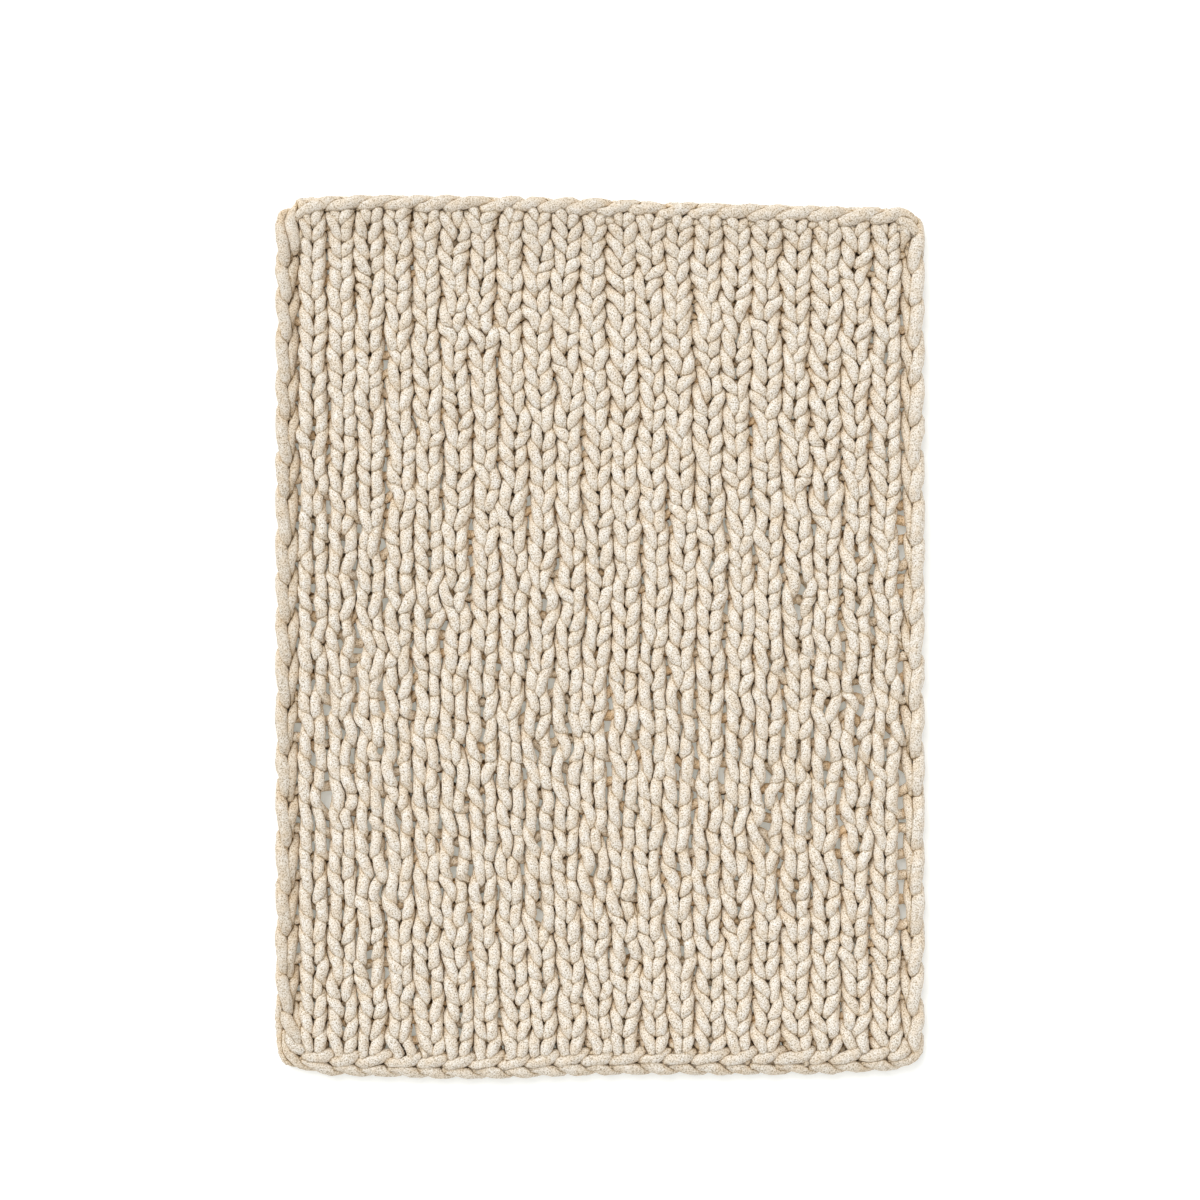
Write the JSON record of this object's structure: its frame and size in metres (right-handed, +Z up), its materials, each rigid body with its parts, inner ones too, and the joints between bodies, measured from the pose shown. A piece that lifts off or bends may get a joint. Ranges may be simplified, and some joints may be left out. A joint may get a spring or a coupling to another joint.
{
  "type": "chunky knit blanket",
  "caption": "Oblong throw blanket hand-knitted in stocking stitch from thick chenille yarn, with a chain edge on all four sides, laid out flat to warm or cover.",
  "frame": {"origin": "on the surface that the blanket lies on, under the middle of its bounding box", "axes": "+Y along the wales, from the cast-on edge to the cast-off edge, which is the long way; +X across the wales; +Z up, out of the knit side"},
  "size_m": [1.1, 1.5, 0.038],
  "materials": {
    "chenille_yarn": "matt cream chenille pile with fine darker flecks, warmer in the depths between the yarns"
  },
  "bodies": {
    "root": {"blanket": "chenille_yarn"}
  },
  "joints": []
}
